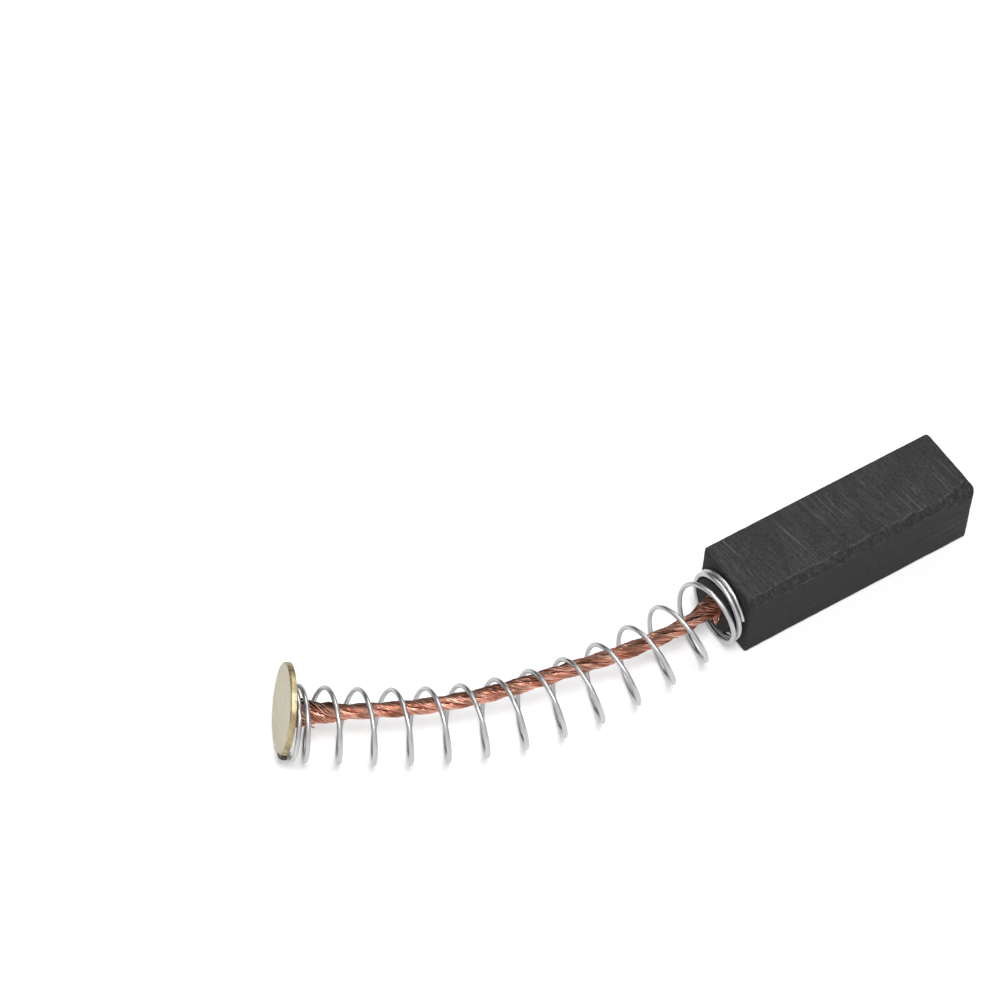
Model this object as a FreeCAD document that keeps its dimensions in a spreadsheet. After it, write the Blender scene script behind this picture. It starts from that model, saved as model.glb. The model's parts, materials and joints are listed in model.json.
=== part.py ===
"""Carbon brush with a coil spring, a stranded copper lead and a round brass cap.

Millimetres, Z up. The origin is the centre of the running face, the end of the
carbon block that rubs on the commutator, and +X points out of that face. The
block lies on its wide side, and the spring, the lead and the cap lie behind it,
toward -X, on a line that bends toward +Y as they came to rest on the table.
"""
import FreeCAD, Part
import math
import os

import Sketcher

V = FreeCAD.Vector

DRIVING_SIZES = {
    # carbon block
    "block_length": 22.0,
    "block_width": 6.5,
    "block_height": 6.3,
    "running_end_chamfer": 0.35,
    "long_edge_chamfer": 0.22,
    "boss_diameter": 4.7,
    "boss_length": 0.95,
    "boss_edge_chamfer": 0.12,
    "lead_hole_diameter": 2.0,
    "lead_hole_depth": 5.0,
    "drill_point_angle": 118.0,
    # tamped powder that holds the lead in its hole
    "plug_side_clearance": 0.02,
    "plug_recess": 0.12,
    "plug_core_clearance": 0.03,
    # spring
    "wire_diameter": 0.4,
    "wire_sides": 5,
    "arcs_per_turn": 10,
    "coil_mean_diameter": 5.64,
    "coil_turns": 15.4,
    "turns_inward_of_first_top": 2.2,
    "closed_turns_at_block": 1.5,
    "closed_turns_at_cap": 0.74,
    "ramp_turns": 1.03,
    "closed_gap": 0.02,
    "pitch_ratio_cap_to_block": 0.667,
    "coil_floor_gap": 0.05,
    "coil_start_offset": -0.05,
    # line that the spring follows from the block's shoulder to the cap
    "spring_line_length": 37.5,
    "line_heading_at_block": -10.1,
    "line_heading_at_cap": 36.5,
    # stranded lead
    "coil_lean": -7.0,
    "coil_lean_start": 0.9,
    "coil_lean_rise": 4.0,
    "strand_count": 4,
    "strand_diameter": 0.53,
    "strand_sides": 6,
    "strand_gap": 0.015,
    "lay_length": 10.0,
    "lead_seat_depth": 4.0,
    "splay_at_cap": 0.28,
    "splay_at_boss": 0.08,
    "splay_length": 3.0,
    "lead_coil_clearance": 0.05,
    "lead_peak_station": 17.0,
    "lead_peak_angle": 30.0,
    # cap
    "cap_diameter": 7.2,
    "cap_thickness": 0.5,
    "cap_edge_roll": 0.1,
    "cap_heading": 28.1,
    "cap_tilt": 10.0,
    "cap_side_offset": 0.88,
    "lead_side_offset_at_cap": -0.3,
    "lead_offset_length": 7.0,
    "cap_coil_gap": 0.03,
    "braze_base_diameter": 2.6,
    "braze_top_diameter": 1.9,
    "braze_height": 0.3,
    "lead_braze_gap": 0.01,
}

doc = FreeCAD.newDocument("carbon_brush")
sheet = doc.addObject("Spreadsheet::Sheet", "sizes")
for row, (size_name, size_value) in enumerate(DRIVING_SIZES.items(), start=1):
    sheet.set(f"A{row}", size_name)
    sheet.set(f"B{row}", str(size_value))
    sheet.setAlias(f"B{row}", size_name)
doc.recompute()


def size(name):
    """A driving size read back from the sheet."""
    return float(sheet.get(name))


def origin_plane(body, role):
    return next(f for f in body.Origin.OriginFeatures if f.Role == role)


def new_sketch(body, name, role):
    """An empty sketch on one of the body's own origin planes."""
    sketch = body.newObject("Sketcher::SketchObject", name)
    sketch.AttachmentSupport = [(origin_plane(body, role), "")]
    sketch.MapMode = "FlatFace"
    return sketch


def constrain(sketch, kind, *args, bound_to=None):
    """One constraint, and the sheet expression that drives it if it is a dimension."""
    number = sketch.addConstraint(Sketcher.Constraint(kind, *args))
    if bound_to:
        sketch.setExpression(f"Constraints[{number}]", bound_to)
    return number


def centred_rectangle(sketch, width, height, width_cell, height_cell):
    """A rectangle about the sketch's origin, its two sizes bound to the sheet."""
    w, h = width / 2, height / 2
    corners = [V(-w, -h, 0), V(w, -h, 0), V(w, h, 0), V(-w, h, 0)]
    for i in range(4):
        sketch.addGeometry(Part.LineSegment(corners[i], corners[(i + 1) % 4]), False)
    for i in range(4):
        constrain(sketch, "Coincident", i, 2, (i + 1) % 4, 1)
    for i in (0, 2):
        constrain(sketch, "Horizontal", i)
        constrain(sketch, "Vertical", i + 1)
    constrain(sketch, "Symmetric", 0, 1, 1, 2, -1, 1)
    constrain(sketch, "Distance", 0, width, bound_to=width_cell)
    constrain(sketch, "Distance", 1, height, bound_to=height_cell)


def circle(sketch, diameter, diameter_cell):
    sketch.addGeometry(Part.Circle(V(0, 0, 0), V(0, 0, 1), diameter / 2), False)
    constrain(sketch, "Coincident", 0, 3, -1, 1)
    constrain(sketch, "Diameter", 0, diameter, bound_to=diameter_cell)


def pad(body, name, sketch, length_cell, backward=False):
    feature = body.newObject("PartDesign::Pad", name)
    feature.Profile = sketch
    feature.setExpression("Length", length_cell)
    feature.Reversed = backward
    doc.recompute()
    return feature


def edges_where(shape, test):
    """Names of the edges whose every point passes the test."""
    found = []
    for i, edge in enumerate(shape.Edges, start=1):
        if all(test(p) for p in edge.discretize(5)):
            found.append(f"Edge{i}")
    return found


def dress(body, kind, name, base, edges, size_property, cell):
    """A chamfer or fillet on the named edges of the base feature."""
    feature = body.newObject(f"PartDesign::{kind}", name)
    feature.Base = (base, edges)
    feature.setExpression(size_property, cell)
    doc.recompute()
    return feature


def make_carbon_block():
    """Pressed block with a turned boss for the spring and a drilled hole for the lead."""
    body = doc.addObject("PartDesign::Body", "carbon_block")
    body.Label = "carbon_block"
    width, height, length = size("block_width"), size("block_height"), size("block_length")

    outline = new_sketch(body, "block_outline", "YZ_Plane")
    centred_rectangle(outline, width, height, "sizes.block_width", "sizes.block_height")
    block = pad(body, "block", outline, "sizes.block_length", backward=True)

    near = 1e-4
    running_edges = edges_where(block.Shape, lambda p: abs(p.x) < near)
    running = dress(
        body, "Chamfer", "running_end_edges", block, running_edges, "Size",
        "sizes.running_end_chamfer",
    )

    def on_long_edge(p):
        return abs(abs(p.y) - width / 2) < near and abs(abs(p.z) - height / 2) < near

    long_edges = dress(
        body, "Chamfer", "long_edges", running, edges_where(running.Shape, on_long_edge),
        "Size", "sizes.long_edge_chamfer",
    )

    boss_outline = new_sketch(body, "boss_outline", "YZ_Plane")
    boss_outline.setExpression("AttachmentOffset.Base.z", "-sizes.block_length")
    circle(boss_outline, size("boss_diameter"), "sizes.boss_diameter")
    boss = pad(body, "boss", boss_outline, "sizes.boss_length", backward=True)
    boss_face_x = -length - size("boss_length")
    boss_edges = edges_where(boss.Shape, lambda p: abs(p.x - boss_face_x) < near)
    boss_chamfer = dress(
        body, "Chamfer", "boss_edge", boss, boss_edges, "Size", "sizes.boss_edge_chamfer"
    )

    before = boss_chamfer.Shape.Volume
    drill = new_sketch(body, "drill_profile", "XZ_Plane")
    radius, depth = size("lead_hole_diameter") / 2, size("lead_hole_depth")
    point = radius / math.tan(math.radians(size("drill_point_angle") / 2))
    mouth_x = boss_face_x
    profile = [
        V(mouth_x, 0, 0),
        V(mouth_x, radius, 0),
        V(mouth_x + depth, radius, 0),
        V(mouth_x + depth + point, 0, 0),
    ]
    for i in range(4):
        drill.addGeometry(Part.LineSegment(profile[i], profile[(i + 1) % 4]), False)
    for i in range(4):
        constrain(drill, "Coincident", i, 2, (i + 1) % 4, 1)
    constrain(drill, "Vertical", 0)
    constrain(drill, "Horizontal", 1)
    constrain(drill, "PointOnObject", 0, 1, -1)
    constrain(drill, "PointOnObject", 3, 1, -1)
    constrain(
        drill, "DistanceX", 0, 1, -1, 1, -mouth_x,
        bound_to="sizes.block_length + sizes.boss_length",
    )
    constrain(drill, "DistanceY", 0, 1, 0, 2, radius, bound_to="sizes.lead_hole_diameter / 2")
    constrain(drill, "DistanceX", 1, 1, 1, 2, depth, bound_to="sizes.lead_hole_depth")
    constrain(
        drill, "DistanceX", 2, 1, 2, 2, point,
        bound_to="sizes.lead_hole_diameter / 2 / tan(sizes.drill_point_angle / 2 * 1 deg)",
    )
    hole = body.newObject("PartDesign::Groove", "lead_hole")
    hole.Profile = drill
    hole.ReferenceAxis = (drill, ["H_Axis"])
    hole.Angle = 360
    doc.recompute()
    removed = before - body.Shape.Volume
    expected = math.pi * radius**2 * (depth + point / 3)
    print(f"lead hole removed {removed:.3f} mm3, expected {expected:.3f}")
    if abs(removed - expected) > 0.05 * expected:
        raise RuntimeError("the lead hole did not cut the boss")
    return body


def smoothstep(u):
    u = min(max(u, 0.0), 1.0)
    return u * u * (3 - 2 * u)


class SpringLine:
    """The line at the middle of the coils, from the block's shoulder to the cap.

    A station is the distance along it. Its heading turns smoothly from the block's
    to the cap's. The coils lie flat on the shoulder and on the cap, and the open
    ones between them lean a little.
    """

    STEPS = 1500

    def __init__(self):
        self.length = size("spring_line_length")
        self.step = self.length / self.STEPS
        floor = -size("block_height") / 2
        outer_radius = (size("coil_mean_diameter") + size("wire_diameter")) / 2
        self.height = floor + outer_radius + size("coil_floor_gap")
        x, y = -size("block_length"), size("coil_start_offset")
        self.points = [(x, y)]
        for i in range(self.STEPS):
            heading = self.heading((i + 0.5) * self.step)
            x -= math.cos(heading) * self.step
            y += math.sin(heading) * self.step
            self.points.append((x, y))

    def heading(self, station):
        start = math.radians(size("line_heading_at_block"))
        end = math.radians(size("line_heading_at_cap"))
        return start + (end - start) * smoothstep(station / self.length)

    def centre(self, station):
        place = min(max(station / self.step, 0.0), self.STEPS - 1e-9)
        i = int(place)
        share = place - i
        (x0, y0), (x1, y1) = self.points[i], self.points[i + 1]
        return V(x0 + (x1 - x0) * share, y0 + (y1 - y0) * share, self.height)

    def coil_plane(self, station):
        """Outward normal, sideways (+Y side) and upward directions of a coil there."""
        share = smoothstep(station / self.length)
        heading = math.radians(size("cap_heading")) * share
        lean = smoothstep((station - size("coil_lean_start")) / size("coil_lean_rise"))
        tilt = math.radians(size("cap_tilt")) * share
        tilt += math.radians(size("coil_lean")) * lean * (1 - share)
        side = V(math.sin(heading), math.cos(heading), 0)
        normal = V(
            -math.cos(heading) * math.cos(tilt),
            math.sin(heading) * math.cos(tilt),
            math.sin(tilt),
        )
        up = side.cross(normal)
        if up.z < 0:
            up = up * -1
        return normal, side, up


def cap_placement(line):
    """Where the cap's inner face is centred, and the directions of that face."""
    normal, side, up = line.coil_plane(line.length)
    radius = size("cap_diameter") / 2
    floor = -size("block_height") / 2
    centre = line.centre(line.length) + side * size("cap_side_offset")
    rise = floor + radius * up.z - centre.z
    centre = centre + up * (rise / up.z)
    return centre, normal, side, up


def spring_stations(turns_step):
    """Turn numbers and stations of the wire's centre, closed, ramped and open in turn."""
    total = size("coil_turns")
    closed_pitch = size("wire_diameter") + size("closed_gap")
    first_station = size("wire_diameter") / 2 + size("closed_gap")
    last_station = size("spring_line_length") - size("wire_diameter") / 2 - size("cap_coil_gap")
    ramp = size("ramp_turns")
    open_from = size("closed_turns_at_block")
    open_to = total - size("closed_turns_at_cap")
    ratio = size("pitch_ratio_cap_to_block")

    def opening(turn):
        """Share of the open pitch at a turn counted from the wire's end at the block."""
        along = (turn - open_from) / (open_to - open_from)
        taper = 1 + (ratio - 1) * min(max(along, 0.0), 1.0)
        rise = smoothstep((turn - open_from) / ramp)
        fall = smoothstep((open_to - turn) / ramp)
        return taper * rise * fall

    count = round(total / turns_step)
    step = total / count
    summed = [0.0]
    for i in range(count):
        summed.append(summed[-1] + opening((i + 0.5) * step) * step)
    open_length = last_station - first_station - closed_pitch * total
    scale = open_length / summed[-1]
    print(f"open pitch at the block {scale + closed_pitch:.2f} mm, "
          f"at the cap {scale * ratio + closed_pitch:.2f} mm")
    return [
        (i * step, first_station + closed_pitch * i * step + scale * summed[i])
        for i in range(count + 1)
    ]


def tangent_arcs(points, direction):
    """Arcs from point to point, each starting along the end of the one before."""
    arcs = []
    for start, end in zip(points[:-1], points[1:]):
        chord = end - start
        along = V(chord).normalize()
        turn = direction.getAngle(along)
        bulge = (direction - along * direction.dot(along)).normalize()
        middle = (start + end) * 0.5 + bulge * (chord.Length / 2 * math.tan(turn / 2))
        arcs.append(Part.Arc(start, middle, end).toShape())
        direction = (along * (2 * direction.dot(along)) - direction).normalize()
    return arcs


def smooth_curve(points):
    """The smooth curve through the points."""
    curve = Part.BSplineCurve()
    curve.interpolate(points)
    return curve


def drawn_bar(path, diameter, sides):
    """A drawn bar whose centre follows the path.

    Its section is an even polygon with its corners on the true round, which keeps
    the facets of a long thin bar few.
    """
    first = path.Edges[0]
    start = first.valueAt(first.FirstParameter)
    direction = first.tangentAt(first.FirstParameter)
    across = direction.cross(V(0, 0, 1)).normalize()
    other = direction.cross(across)
    corners = []
    for i in range(sides):
        angle = 2 * math.pi * i / sides
        reach = across * math.cos(angle) + other * math.sin(angle)
        corners.append(start + reach * (diameter / 2))
    section = Part.Face(Part.makePolygon(corners + [corners[0]]))
    bar = path.makePipe(section)
    expected = section.Area * path.Length
    print(f"bar {path.Length:.2f} mm long, volume {bar.Volume:.3f}, expected {expected:.3f}")
    return bar


def make_compression_spring(line):
    """Round steel wire in open coils, with closed coils against the block and the cap."""
    radius = size("coil_mean_diameter") / 2
    inward = size("turns_inward_of_first_top")
    points = []
    for turn, station in spring_stations(1 / size("arcs_per_turn")):
        angle = 2 * math.pi * (turn - inward)
        normal, side, up = line.coil_plane(station)
        points.append(line.centre(station) + (up * math.cos(angle) + side * math.sin(angle)) * radius)
    spring = doc.addObject("Part::Feature", "compression_spring")
    spring.Label = "compression_spring"
    curve = smooth_curve(points)
    path = Part.Wire(tangent_arcs(points, curve.tangent(curve.FirstParameter)[0]))
    spring.Shape = drawn_bar(path, size("wire_diameter"), round(size("wire_sides")))
    return spring


def lead_radius():
    """Outer radius of the round that just holds the strands laid side by side."""
    return strand_ring_radius() + size("strand_diameter") / 2


def strand_ring_radius():
    """Radius of the ring of strand centres, a small gap apart from each other."""
    spacing = size("strand_diameter") + size("strand_gap")
    return spacing / 2 / math.sin(math.pi / size("strand_count"))


def lead_offset(station, line):
    """How far the lead lies from the middle of the coils, sideways and upward."""
    free = (size("coil_mean_diameter") - size("wire_diameter")) / 2
    reach = free - lead_radius() - size("lead_coil_clearance")
    angle = math.radians(size("lead_peak_angle"))
    peak = (reach * math.cos(angle), reach * math.sin(angle))
    centre, normal, side, up = cap_placement(line)
    to_cap = centre - line.centre(line.length)
    end = (to_cap.dot(side), to_cap.dot(up))
    start = (-size("coil_start_offset"), -line.height)
    peak_station = size("lead_peak_station")
    if station <= peak_station:
        share = smoothstep(station / peak_station)
        return [a + (b - a) * share for a, b in zip(start, peak)]
    share = smoothstep((station - peak_station) / (line.length - peak_station))
    across, rise = [a + (b - a) * share for a, b in zip(peak, end)]
    near_cap = 1 - smoothstep((line.length - station) / size("lead_offset_length"))
    return across + size("lead_side_offset_at_cap") * near_cap, rise


def lead_centre(station, line):
    """Centre of the lead at a station. Below the boss's face it runs straight in the hole."""
    mouth = size("boss_length")
    if station <= mouth:
        return V(-size("block_length") - station, 0, 0)
    normal, side, up = line.coil_plane(station)
    across, rise = lead_offset(station, line)
    laid = line.centre(station) + side * across + up * rise
    straight = V(-size("block_length") - station, 0, 0)
    share = smoothstep((station - mouth) / size("splay_length"))
    return straight + (laid - straight) * share


def lead_end_station(line):
    return line.length - size("braze_height") - size("lead_braze_gap")


def make_lead_strand(index, line):
    """One bunch of copper wires, laid round the others from the hole to the cap."""
    first = size("boss_length") - size("lead_seat_depth")
    last = lead_end_station(line)
    steps = 20
    points = []
    for i in range(steps + 1):
        station = first + (last - first) * i / steps
        twist = 2 * math.pi * (station / size("lay_length") + index / size("strand_count"))
        from_cap = (last - station) / size("splay_length")
        from_boss = abs(station - size("boss_length")) / size("splay_length")
        ring = strand_ring_radius()
        ring += size("splay_at_cap") * (1 - smoothstep(from_cap))
        ring += size("splay_at_boss") * (1 - smoothstep(from_boss))
        normal, side, up = line.coil_plane(station)
        around = up * math.cos(twist) + side * math.sin(twist)
        points.append(lead_centre(station, line) + around * ring)
    strand = doc.addObject("Part::Feature", f"lead_strand_{index + 1}")
    strand.Label = f"lead_strand_{index + 1}"
    path = Part.Wire([smooth_curve(points).toShape()])
    strand.Shape = drawn_bar(path, size("strand_diameter"), round(size("strand_sides")))
    return strand


def make_tamping_plug():
    """Powder rammed round the lead in its hole, a little below the boss's face."""
    outer = doc.addObject("Part::Cylinder", "plug_outer")
    outer.setExpression("Radius", "sizes.lead_hole_diameter / 2 - sizes.plug_side_clearance")
    outer.setExpression("Height", "sizes.lead_seat_depth - sizes.plug_recess")
    core = doc.addObject("Part::Cylinder", "plug_core")
    core_radius = lead_radius() + size("splay_at_boss") + size("plug_core_clearance")
    core.Radius = core_radius
    core.setExpression("Height", "sizes.lead_seat_depth - sizes.plug_recess")
    plug = doc.addObject("Part::Cut", "tamping_plug")
    plug.Label = "tamping_plug"
    plug.Base = outer
    plug.Tool = core
    doc.recompute()
    mouth_x = -size("block_length") - size("boss_length")
    plug.Placement = FreeCAD.Placement(
        V(mouth_x + size("plug_recess"), 0, 0), FreeCAD.Rotation(V(0, 0, 1), V(1, 0, 0))
    )
    return plug


def make_terminal_cap(line):
    """Blanked brass disc, its outer edge rolled over by the die."""
    body = doc.addObject("PartDesign::Body", "terminal_cap")
    body.Label = "terminal_cap"
    outline = new_sketch(body, "cap_outline", "XY_Plane")
    circle(outline, size("cap_diameter"), "sizes.cap_diameter")
    disc = pad(body, "cap_disc", outline, "sizes.cap_thickness")
    thickness = size("cap_thickness")
    outer_edges = edges_where(disc.Shape, lambda p: abs(p.z - thickness) < 1e-4)
    dress(body, "Chamfer", "die_roll", disc, outer_edges, "Size", "sizes.cap_edge_roll")
    centre, normal, side, up = cap_placement(line)
    body.Placement = FreeCAD.Placement(centre, FreeCAD.Rotation(side, up, normal, "ZYX"))
    print("cap inner face centre", tuple(round(c, 3) for c in centre),
          "normal", tuple(round(c, 4) for c in normal))
    return body


def make_braze(line):
    """Low mound of braze that joins the lead's end to the cap."""
    braze = doc.addObject("Part::Cone", "braze_mound")
    braze.Label = "braze_mound"
    braze.setExpression("Radius1", "sizes.braze_base_diameter / 2")
    braze.setExpression("Radius2", "sizes.braze_top_diameter / 2")
    braze.setExpression("Height", "sizes.braze_height")
    centre, normal, side, up = cap_placement(line)
    foot = centre + side * size("lead_side_offset_at_cap")
    braze.Placement = FreeCAD.Placement(foot, FreeCAD.Rotation(V(0, 0, 1), normal * -1))
    return braze


def check_document():
    doc.recompute()
    for item in doc.Objects:
        if "Invalid" in item.State or "Error" in item.State:
            raise RuntimeError(f"{item.Name} failed: {item.State}")


def write_nodes(nodes):
    os.makedirs("parts", exist_ok=True)
    for node in nodes:
        shape = node.Shape
        if shape.isNull() or not shape.isValid():
            raise RuntimeError(f"{node.Label} has no valid shape")
        shape.exportStep(f"parts/{node.Label}.step")
        print(f"{node.Label}: {len(shape.Solids)} solid, volume {shape.Volume:.3f} mm3")


spring_line = SpringLine()
nodes = [make_carbon_block(), make_tamping_plug()]
nodes += [make_lead_strand(i, spring_line) for i in range(round(size("strand_count")))]
nodes += [
    make_compression_spring(spring_line),
    make_terminal_cap(spring_line),
    make_braze(spring_line),
]
check_document()
write_nodes(nodes)
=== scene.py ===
# %% [markdown]
# # A carbon brush, built piece by piece
# A carbon brush carries current to a spinning commutator. It is a small block of
# pressed carbon with a copper lead, a spring that pushes it, and a brass cap that
# takes the current from the holder. The pieces are built in the order in which
# the real one is put together, each around its node in the CAD model.

# %% Load the frame
import json
import math
import random

import bmesh
import bpy
from mathutils import Matrix, Vector, noise

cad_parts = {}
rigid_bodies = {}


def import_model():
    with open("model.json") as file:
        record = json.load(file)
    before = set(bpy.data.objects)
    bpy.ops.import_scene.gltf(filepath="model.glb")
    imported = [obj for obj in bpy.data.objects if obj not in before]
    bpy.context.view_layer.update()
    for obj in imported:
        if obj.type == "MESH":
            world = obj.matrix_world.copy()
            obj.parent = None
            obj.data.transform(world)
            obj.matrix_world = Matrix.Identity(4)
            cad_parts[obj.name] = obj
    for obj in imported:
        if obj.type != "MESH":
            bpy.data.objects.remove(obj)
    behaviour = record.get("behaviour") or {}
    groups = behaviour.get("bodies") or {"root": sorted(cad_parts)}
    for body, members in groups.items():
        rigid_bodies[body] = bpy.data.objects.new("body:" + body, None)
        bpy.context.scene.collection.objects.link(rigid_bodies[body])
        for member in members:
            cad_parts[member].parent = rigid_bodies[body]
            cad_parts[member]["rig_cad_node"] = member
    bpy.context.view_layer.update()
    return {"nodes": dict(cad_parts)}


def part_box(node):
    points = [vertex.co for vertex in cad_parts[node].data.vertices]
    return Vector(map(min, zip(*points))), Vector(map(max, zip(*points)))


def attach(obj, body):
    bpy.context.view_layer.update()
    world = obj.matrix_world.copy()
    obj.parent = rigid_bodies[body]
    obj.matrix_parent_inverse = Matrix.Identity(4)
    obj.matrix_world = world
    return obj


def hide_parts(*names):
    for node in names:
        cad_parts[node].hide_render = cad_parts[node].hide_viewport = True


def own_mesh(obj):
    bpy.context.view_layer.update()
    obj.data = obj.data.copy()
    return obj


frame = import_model()
print("CAD nodes:", sorted(frame["nodes"]))

# %% [markdown]
# ## Sizes of the brush
# All sizes are in millimetres, the unit that a drawing of such a small thing would
# use. Each mesh is scaled to metres as its last step. The origin is the middle of
# the running face, and the block reaches back from it along minus X.

# %% Sizes
BLOCK_LENGTH = 22.0
BLOCK_WIDTH = 6.5
BLOCK_HEIGHT = 6.3
BOSS_RADIUS = 2.35
BOSS_LENGTH = 0.95
HOLE_RADIUS = 1.0
SEAT_DEPTH = 4.0

WIRE_RADIUS = 0.193
COIL_RADIUS = 2.82
COIL_TURNS = 15.4
TURNS_INWARD_OF_FIRST_TOP = 2.2
CLOSED_TURNS_AT_BLOCK = 1.5
CLOSED_TURNS_AT_CAP = 0.74
RAMP_TURNS = 1.03
CLOSED_PITCH = 0.42
PITCH_RATIO_CAP_TO_BLOCK = 0.667
FIRST_WIRE_STATION = 0.22
LAST_WIRE_STATION = 37.27

LINE_LENGTH = 37.5
LINE_START = (-22.0, -0.05)
LINE_HEIGHT = -0.08
HEADING_AT_BLOCK = math.radians(-10.1)
HEADING_AT_CAP = math.radians(36.5)
CAP_HEADING = math.radians(28.1)
CAP_TILT = math.radians(10)
COIL_LEAN = math.radians(-7)
COIL_LEAN_START = 0.9
COIL_LEAN_RISE = 4.0

STRANDS = 4
STRAND_RADIUS = 0.265
STRAND_RING = 0.3854
LAY_LENGTH = 10.0
LEAD_PEAK_STATION = 17.0
LEAD_PEAK_ANGLE = math.radians(30)
LEAD_PEAK_REACH = 1.920
LEAD_SIDE_OFFSET_AT_CAP = -0.3
LEAD_OFFSET_LENGTH = 7.0
SPLAY_AT_CAP = 0.336
SPLAY_LENGTH_AT_CAP = 4.5
SPLAY_AT_BOSS = 0.08
SPLAY_LENGTH_AT_BOSS = 3.0

WIRES_ROUND_STRAND = 9
FINE_WIRE_RADIUS = 0.076
FILLER_RADIUS = 0.13
WIRE_RING = 0.190
WIRE_LAY_LENGTH = 6.5

CAP_RADIUS = 3.6
CAP_THICKNESS = 0.5
CAP_CENTRE = Vector((-56.569, 8.91, 0.395))
BRAZE_HEIGHT = 0.3
FLOOR = -BLOCK_HEIGHT / 2
MERGE_DISTANCE = 1e-4

random.seed(7)

# %% [markdown]
# ## The line that the spring follows
# Outside its holder the spring isn't straight: it sags to one side, and its coils
# lean with the bend. A line that changes its heading slowly, and a coil plane that
# turns along it, give both. Spring and lead then use the same line.

# %% Line of the spring
def smoothstep(share):
    """Rises slowly from 0 to 1, without a corner at either end."""
    share = min(max(share, 0.0), 1.0)
    return share * share * (3 - 2 * share)


def mix(a, b, share):
    return a + (b - a) * share


LINE_STEP = 0.05
line_points = [Vector((*LINE_START, LINE_HEIGHT))]
while len(line_points) * LINE_STEP < LINE_LENGTH + 2 * LINE_STEP:
    middle = (len(line_points) - 0.5) * LINE_STEP
    heading = mix(HEADING_AT_BLOCK, HEADING_AT_CAP, smoothstep(middle / LINE_LENGTH))
    step = Vector((-math.cos(heading), math.sin(heading), 0)) * LINE_STEP
    line_points.append(line_points[-1] + step)


def line_centre(station):
    place = min(max(station / LINE_STEP, 0), len(line_points) - 1.001)
    index = int(place)
    return line_points[index].lerp(line_points[index + 1], place - index)


def coil_plane(station):
    """The coil plane's normal, its sideways direction and its upward direction."""
    turn = smoothstep(station / LINE_LENGTH)
    heading = CAP_HEADING * turn
    lean = smoothstep((station - COIL_LEAN_START) / COIL_LEAN_RISE)
    tilt = CAP_TILT * turn + COIL_LEAN * lean * (1 - turn)
    normal = Vector((
        -math.cos(heading) * math.cos(tilt),
        math.sin(heading) * math.cos(tilt),
        math.sin(tilt),
    ))
    side = Vector((math.sin(heading), math.cos(heading), 0))
    return normal, side, side.cross(normal)


_, _, up = coil_plane(LINE_LENGTH)
print("line ends at", tuple(round(c, 3) for c in line_centre(LINE_LENGTH)),
      "and the coil's up direction there is", tuple(round(c, 3) for c in up))

# %% [markdown]
# ## Tools for meshes and materials
# A few short helpers keep the pieces readable. finish_piece turns a mesh into an
# object in its final place, sweep lays a round bar along points and spin_profile
# turns a profile as a lathe does. The others put shader nodes together, so that a
# finish reads as a list of its layers.

# %% Helpers
def finish_piece(bm, name, body, material, node=None, sharp_angle=35):
    """Scales a millimetre mesh to metres and makes it a piece that rides on a body."""
    bmesh.ops.remove_doubles(bm, verts=bm.verts, dist=1e-5)
    bmesh.ops.recalc_face_normals(bm, faces=bm.faces)
    bmesh.ops.scale(bm, vec=(0.001, 0.001, 0.001), verts=bm.verts)
    mesh = bpy.data.meshes.new(name)
    bm.to_mesh(mesh)
    bm.free()
    mesh.shade_smooth()
    mesh.set_sharp_from_angle(angle=math.radians(sharp_angle))
    mesh.materials.append(material)
    piece = bpy.data.objects.new(name, mesh)
    bpy.context.scene.collection.objects.link(piece)
    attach(piece, body)
    if node:
        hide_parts(node)
    print(f"{name}: {len(mesh.polygons)} faces")
    return piece


def sweep(points, out_directions, radii, sides):
    """A closed round bar through the points. Each vertex stores its place on the bar."""
    bm = bmesh.new()
    place = bm.verts.layers.float_vector.new("bar_place")
    frames = []
    for i, point in enumerate(points):
        ahead = points[min(i + 1, len(points) - 1)] - points[max(i - 1, 0)]
        ahead.normalize()
        out = out_directions[i] - ahead * out_directions[i].dot(ahead)
        out.normalize()
        across = ahead.cross(out)
        frames.append((point, out, across))
    ring = bmesh.ops.create_circle(bm, cap_ends=False, segments=sides, radius=1)["verts"]
    first_ring = list(bm.edges)
    ring_edges = first_ring
    along = 0.0
    for i, (point, out, across) in enumerate(frames):
        if i:
            along += (point - frames[i - 1][0]).length
            made = bmesh.ops.extrude_edge_only(bm, edges=ring_edges)["geom"]
            made_verts = [item for item in made if isinstance(item, bmesh.types.BMVert)]
            ring_edges = [
                item for item in made
                if isinstance(item, bmesh.types.BMEdge) and all(v in made_verts for v in item.verts)
            ]
            ring = sort_round(made_verts, frames[i - 1])
        for k, vert in enumerate(ring):
            angle = 2 * math.pi * k / sides
            vert.co = point + (out * math.cos(angle) + across * math.sin(angle)) * radii[i]
            vert[place] = (math.cos(angle), math.sin(angle), along)
    bmesh.ops.contextual_create(bm, geom=first_ring)
    bmesh.ops.contextual_create(bm, geom=ring_edges)
    return bm


def sort_round(verts, frame_before):
    """Puts the vertices of a ring in order of their angle in the frame of the ring before."""
    point, out, across = frame_before

    def angle(vert):
        reach = vert.co - point
        return math.atan2(reach.dot(across), reach.dot(out)) % (2 * math.pi - 1e-6)

    return sorted(verts, key=angle)


def spin_profile(points, axis, steps):
    """A round body or sheet: the profile turned once about an axis through the origin."""
    bm = bmesh.new()
    profile = [bm.verts.new(point) for point in points]
    for first, second in zip(profile[:-1], profile[1:]):
        bm.edges.new((first, second))
    bmesh.ops.spin(bm, geom=list(bm.verts) + list(bm.edges), cent=(0, 0, 0), axis=axis,
                   angle=2 * math.pi, steps=steps, use_merge=True)
    return bm


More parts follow.
